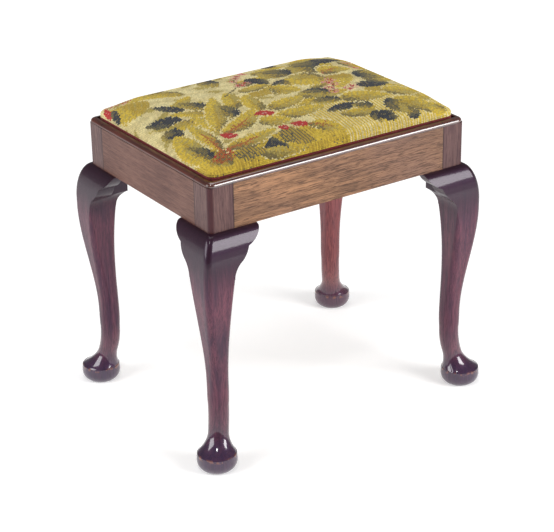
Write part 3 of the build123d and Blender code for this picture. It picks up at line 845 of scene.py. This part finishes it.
def stitchShape():
    length, width = stitch["pitchX"] * stitch["longShare"], stitch["pitchY"] * stitch["wideShare"]
    thick = stitch["thick"]
    points, faces = [], []
    for share, lift in ((-0.5, -0.5), (-0.25, 0.75), (0.25, 0.75), (0.5, -0.5)):
        for acrossShare, top in ((-0.5, -0.3), (-0.26, 0.8), (0.26, 0.8), (0.5, -0.3)):
            points.append((share * length, acrossShare * width, thick * (min(top, lift))))
    for row in range(3):
        for column in range(3):
            first = row * 4 + column
            faces.append((first, first + 4, first + 5, first + 1))
    return points, faces


def stitchGroup():
    tree = bpy.data.node_groups.new("stitchField", "GeometryNodeTree")
    for name, kind in (("Points", "Geometry"), ("Stitch", "Object"), ("Wool", "Material")):
        tree.interface.new_socket(name, in_out="INPUT", socket_type=f"NodeSocket{kind}")
    tree.interface.new_socket("Field", in_out="OUTPUT", socket_type="NodeSocketGeometry")
    g = Graph(tree)
    given = tree.nodes.new("NodeGroupInput")
    up = g.add("GeometryNodeInputNamedAttribute", {"data_type": "FLOAT_VECTOR"}, {"Name": "up"})
    along = g.add("GeometryNodeInputNamedAttribute", {"data_type": "FLOAT_VECTOR"}, {"Name": "along"})
    rightUp = g.add("FunctionNodeAlignRotationToVector", {"axis": "Z"}, {"Vector": up})
    settings = {"axis": "X", "pivot_axis": "Z"}
    turned = g.add("FunctionNodeAlignRotationToVector", settings, {"Rotation": rightUp, "Vector": along})
    shape = g.add("GeometryNodeObjectInfo", None, {"Object": Wire(g, given.outputs["Stitch"])}, "Geometry")
    sockets = {"Points": Wire(g, given.outputs["Points"]), "Instance": shape, "Rotation": turned}
    field = g.add("GeometryNodeInstanceOnPoints", None, sockets)
    real = g.add("GeometryNodeRealizeInstances", None, {"Geometry": field})
    wool = Wire(g, given.outputs["Wool"])
    dyed = g.add("GeometryNodeSetMaterial", None, {"Geometry": real, "Material": wool})
    output = tree.nodes.new("NodeGroupOutput")
    tree.links.new(dyed.socket, output.inputs[0])
    return tree


# Wool: the strand's own tone, fuzz and a soft sheen.
def woolLook(name, shade):
    m = Look(name)
    place = m.place()
    tone = m.add("ShaderNodeAttribute", {"attribute_name": "tone"}, None, "Fac")
    fuzz = m.noise(place, 2600.0, 2.0, 0.7)
    patch = m.noise(place, 40.0, 2.0)
    darker = tuple(c * 0.62 for c in shade[:3]) + (1.0,)
    lighter = tuple(min(c * 1.25, 0.95) for c in shade[:3]) + (1.0,)
    base = m.mix(tone * 0.55 + patch * 0.3 + fuzz * 0.25, darker, lighter)
    rough = 0.86 + fuzz * 0.1
    return m.finish({
        "Base Color": base, "Roughness": rough, "Sheen Weight": 0.15, "Normal": m.bump(fuzz, 0.0003, 0.6),
    })


woolShades = {
    "cream": colour(198, 184, 132), "pale": colour(210, 198, 146), "yellow": colour(194, 168, 56),
    "ochre": colour(170, 144, 50), "sage": colour(164, 148, 76), "moss": colour(138, 122, 62),
    "olive": colour(112, 100, 62), "slate": colour(82, 80, 64),
    "dark": colour(50, 52, 58), "red": colour(172, 46, 44), "pink": colour(190, 132, 122),
    "rust": colour(160, 96, 48), "maroon": colour(108, 28, 34),
}


# Places on the map: the plan of the top, or the unrolled edge for the border.
def planMap(mesh, isEdge):
    places = verticesOf(mesh)
    if isEdge:
        across = np.arctan2(places[:, 1] / halfY, places[:, 0] / halfX) / (2 * math.pi) + 0.5
        upward = (places[:, 2] - coverLow.z) / (crownTop - coverLow.z)
    else:
        across = (places[:, 0] + halfX) / (2 * halfX) * 0.96 + 0.02
        upward = (places[:, 1] + halfX) / (2 * halfX) * 0.96 + 0.02
    corners = np.empty(len(mesh.loops), int)
    mesh.loops.foreach_get("vertex_index", corners)
    layer = mesh.uv_layers.new(name="OFBake")
    layer.data.foreach_set("uv", np.column_stack([across, upward])[corners].ravel())


def stitchField():
    fields = []
    shapePoints, shapeFaces = stitchShape()
    shape = newPiece("stitchShape", shapePoints, shapeFaces, canvas)
    tree = stitchGroup()
    sockets = {item.name: item.identifier for item in tree.interface.items_tree if item.in_out == "INPUT"}
    places, ups, alongs, wool, tones = stitchPlaces()
    for name, index in woolIndex.items():
        chosen = wool == index
        mesh = bpy.data.meshes.new(f"{name}Stitches")
        mesh.from_pydata([tuple(p) for p in places[chosen]], [], [])
        for label, values in (("up", ups), ("along", alongs), ("tone", tones)):
            isVector = values.ndim == 2
            layer = mesh.attributes.new(label, "FLOAT_VECTOR" if isVector else "FLOAT", "POINT")
            layer.data.foreach_set("vector" if isVector else "value", values[chosen].ravel())
        piece = bpy.data.objects.new(f"{name}Stitches", mesh)
        scene.collection.objects.link(piece)
        field = piece.modifiers.new("stitches", "NODES")
        field.node_group = tree
        field[sockets["Stitch"]] = shape
        field[sockets["Wool"]] = woolLook(f"{name}Wool", woolShades[name])
        applied(piece)
        piece.data.polygons.foreach_set("use_smooth", [True] * len(piece.data.polygons))
        planMap(piece.data, name == "maroon")
        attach(piece, "drop_in_seat")
        fields.append(piece)
        print("stitches", name, int(chosen.sum()), len(piece.data.polygons))
    bpy.data.objects.remove(shape)
    return fields


stitchFields = stitchField()
print("stage: needlework")


# Webbing: straps over and under each other, with two dark stripes in the weave.
web = {"thick": 0.0011, "flatHalf": 0.027, "rise": 0.0012, "landing": 0.030, "step": 0.004, "across": 10}


def webbingLook():
    m = Look("webbingWeave")
    along, across, _ = m.axes(m.add("ShaderNodeUVMap", {"uv_map": "weave"}))
    warp = (across * (2 * math.pi / 0.0022)).calc("SINE")
    weft = (along * (2 * math.pi / 0.0030)).calc("SINE")
    zigzag = ((along * (2 * math.pi / 0.012)).calc("SINE") * 0.002 + across) * (2 * math.pi / 0.0052)
    twill = zigzag.calc("SINE").rise(-0.4, 0.4)
    fibre = m.noise(m.place(), 1500.0, 3.0, 0.6)
    base = m.mix(twill * 0.5 + fibre * 0.4, colour(150, 118, 74), colour(190, 160, 110))
    stripe = across.calc("ABSOLUTE").hump(0.016, 0.0016).rise(0.2, 0.6)
    base = m.mix(stripe * 0.85, base, colour(54, 42, 34))
    knit = warp * weft * 0.5 + fibre * 0.5
    rough = 0.88 + fibre * 0.1
    return m.finish({"Base Color": base, "Roughness": rough, "Normal": m.bump(knit, 0.0004, 0.7)})


def strapPiece(name, crossNames, axis, look):
    low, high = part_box(name)
    crossings = sorted((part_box(other)[0][axis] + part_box(other)[1][axis]) / 2 for other in crossNames)
    number = int(name[-1]) - 1
    isOver = [(number + k) % 2 if axis == 0 else 1 - (number + k) % 2 for k in range(len(crossings))]
    ends = (low[axis], low[axis] + web["landing"], high[axis] - web["landing"], high[axis])
    knots = [(ends[0], 0.0), (ends[1], 0.0)]
    for place, over in zip(crossings, isOver):
        lift = over * web["rise"]
        knots += [(place - web["flatHalf"], lift), (place + web["flatHalf"], lift)]
    knots += [(ends[2], 0.0), (ends[3], 0.0)]
    alongs = np.arange(ends[0], ends[3] + web["step"] / 2, web["step"])
    lifts = low.z + 0.00005 + np.interp(alongs, *zip(*knots))
    other = 1 - axis
    middle, halfWide = (low[other] + high[other]) / 2, (high[other] - low[other]) / 2
    sides = np.linspace(-halfWide, halfWide, web["across"])
    loop = [(s, 0.0) for s in sides] + [(s, web["thick"]) for s in sides[::-1]]
    points, flats, faces = [], [], []
    for along, lift in zip(alongs, lifts):
        for side, up in loop:
            point = [0.0, 0.0, lift + up]
            point[axis], point[other] = along, middle + side
            points.append(point)
            flats.append((along, side))
    count = len(loop)
    for ring in range(len(alongs) - 1):
        for k in range(count):
            after = (k + 1) % count
            here, there = ring * count, (ring + 1) * count
            quad = (here + k, here + after, there + after, there + k)
            faces.append(quad if axis == 1 else quad[::-1])
    capA = tuple(range(count))
    capB = tuple(range((len(alongs) - 1) * count, len(alongs) * count))
    faces += [capA[::-1], capB] if axis == 1 else [capA, capB[::-1]]
    piece = newPiece(name.replace("webbing_", "strap_"), points, faces, look, False)
    corners = np.empty(len(piece.data.loops), int)
    piece.data.loops.foreach_get("vertex_index", corners)
    layer = piece.data.uv_layers.new(name="weave")
    layer.data.foreach_set("uv", np.array(flats)[corners].ravel())
    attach(piece, "drop_in_seat")
    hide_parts(name)


weave = webbingLook()
longStraps, crossStraps = sorted(starting("webbing_long")), sorted(starting("webbing_cross"))
for strap in longStraps:
    strapPiece(strap, crossStraps, 0, weave)
for strap in crossStraps:
    strapPiece(strap, longStraps, 1, weave)

# Hessian: an open plain weave, slightly uneven.
m = Look("hessianWeave")
x, y, _ = m.axes(m.place())
wander = m.noise(m.place(), 60.0, 2.0) * 0.004
warp = ((x + wander) * (2 * math.pi / 0.0026)).calc("SINE")
weft = ((y + wander) * (2 * math.pi / 0.0026)).calc("SINE")
threads = (warp * weft) * 0.5 + 0.5
fibre = m.noise(m.place(), 1300.0, 3.0, 0.65)
hessianBase = m.mix(threads * 0.6 + fibre * 0.4, colour(112, 84, 50), colour(176, 142, 92))
hessianBump = m.bump(threads + fibre * 0.5, 0.0005, 0.7)
hessianLook = m.finish({"Base Color": hessianBase, "Roughness": 0.94, "Normal": hessianBump})
hessianGrid = {"x": 60, "y": 46}
low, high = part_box("hessian")
acrossX = np.linspace(low.x, high.x, hessianGrid["x"])
acrossY = np.linspace(low.y, high.y, hessianGrid["y"])
points, faces = [], []
for level in (low.z, high.z):
    points += [(px, py, level) for py in acrossY for px in acrossX]
wide, deep = len(acrossX), len(acrossY)
for row in range(deep - 1):
    for column in range(wide - 1):
        first = row * wide + column
        faces.append((first, first + wide, first + wide + 1, first + 1))
        faces.append(tuple(k + wide * deep for k in (first, first + 1, first + wide + 1, first + wide)))
edge = [k for k in range(wide)] + [wide * (r + 1) - 1 for r in range(1, deep)]
edge += [wide * deep - 2 - k for k in range(wide - 1)] + [wide * r for r in range(deep - 2, 0, -1)]
for here, after in zip(edge, edge[1:] + edge[:1]):
    faces.append((here, after, after + wide * deep, here + wide * deep))
hessianSheet = newPiece("hessianSheet", points, faces, hessianLook, False)
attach(hessianSheet, "drop_in_seat")
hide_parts("hessian")
print("stage: webbing and hessian")


def cameraAt(place, bearing, drop, roll, lens):
    camera = bpy.data.cameras.new("photoCamera")
    camera.lens = lens
    camera.sensor_width = 36.0
    camera.sensor_fit = "HORIZONTAL"
    rig = bpy.data.objects.new("photoCamera", camera)
    scene.collection.objects.link(rig)
    level = math.cos(drop)
    forward = Vector((-math.sin(bearing) * level, math.cos(bearing) * level, -math.sin(drop)))
    right = Vector((math.cos(bearing), math.sin(bearing), 0.0))
    up = right.cross(forward)
    tilted = right * math.cos(roll) + up * math.sin(roll)
    upright = up * math.cos(roll) - right * math.sin(roll)
    turn = Matrix((tilted, upright, -forward)).transposed()
    rig.matrix_world = Matrix.Translation(place) @ turn.to_4x4()
    scene.camera = rig


# Found by fitting the frame's corners, joint lines and feet to the photograph.
photoView = {
    "place": (-1.3652, -2.0296, 1.3189), "bearing": -0.59164, "drop": 0.43217, "roll": -0.0171,
    "lens": 116.37,
}
cameraAt(**photoView)
scene.view_settings.view_transform = "Standard"

# Studio: white floor, soft boxes to the right, to the left and overhead, and a small key light by the camera.
studio = {
    "floorHalf": 40.0, "boxSize": 1.6, "leftPower": 46.0, "topPower": 16.0,
    "rightSize": 1.2, "rightPower": 52.0, "keySize": 0.22, "keyPower": 8.0, "sky": 0.18,
    "glowNear": 0.37, "glowMore": 0.4, "glowStart": 0.5, "glowEnd": 2.2,
}


def softBox(name, place, target, size, power):
    lamp = bpy.data.lights.new(name, "AREA")
    lamp.shape = "SQUARE"
    lamp.size = size
    lamp.energy = power
    rig = bpy.data.objects.new(name, lamp)
    scene.collection.objects.link(rig)
    rig.location = place
    rig.rotation_euler = (Vector(target) - Vector(place)).to_track_quat("-Z", "Y").to_euler()
    rig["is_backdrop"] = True


softBox("rightBox", (1.1, -2.0, 1.2), (0.0, 0.0, 0.3), studio["rightSize"], studio["rightPower"])
softBox("leftBox", (-2.3, 0.3, 1.3), (0.0, 0.0, 0.3), studio["boxSize"], studio["leftPower"])
softBox("keyBox", (-1.0, -1.0, 2.3), (0.0, 0.0, 0.3), studio["keySize"], studio["keyPower"])
softBox("topBox", (0.3, 0.4, 2.6), (0.0, 0.0, 0.4), studio["boxSize"], studio["topPower"])

half = studio["floorHalf"]
m = Look("floorPaper")
away = m.add("ShaderNodeVectorMath", {"operation": "LENGTH"}, [m.place()], "Value")
glow = away.rise(studio["glowStart"], studio["glowEnd"]) * studio["glowMore"] + studio["glowNear"]
glowColour = m.mix(glow, (0.0, 0.0, 0.0, 1.0), (1.0, 1.0, 1.0, 1.0))
paper = m.finish({
    "Base Color": (0.82, 0.82, 0.82, 1.0), "Roughness": 0.9, "Specular IOR Level": 0.0,
    "Emission Color": glowColour, "Emission Strength": 1.0,
})
corners = [(-half, -half, 0), (half, -half, 0), (half, half, 0), (-half, half, 0)]
floor = newPiece("floor", corners, [(0, 1, 2, 3)], paper, False)
floor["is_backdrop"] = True

world = bpy.data.worlds.new("studioAir")
scene.world = world
world.use_nodes = True
world.node_tree.nodes.clear()
air = Graph(world.node_tree)
background = air.add("ShaderNodeBackground", None, {"Color": (1.0, 1.0, 1.0, 1.0), "Strength": studio["sky"]})
airOut = world.node_tree.nodes.new("ShaderNodeOutputWorld")
world.node_tree.links.new(background.socket, airOut.inputs["Surface"])
print("stage: studio")

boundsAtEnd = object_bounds()
corners = {"loaded": boundsAtLoad, "finished": boundsAtEnd}
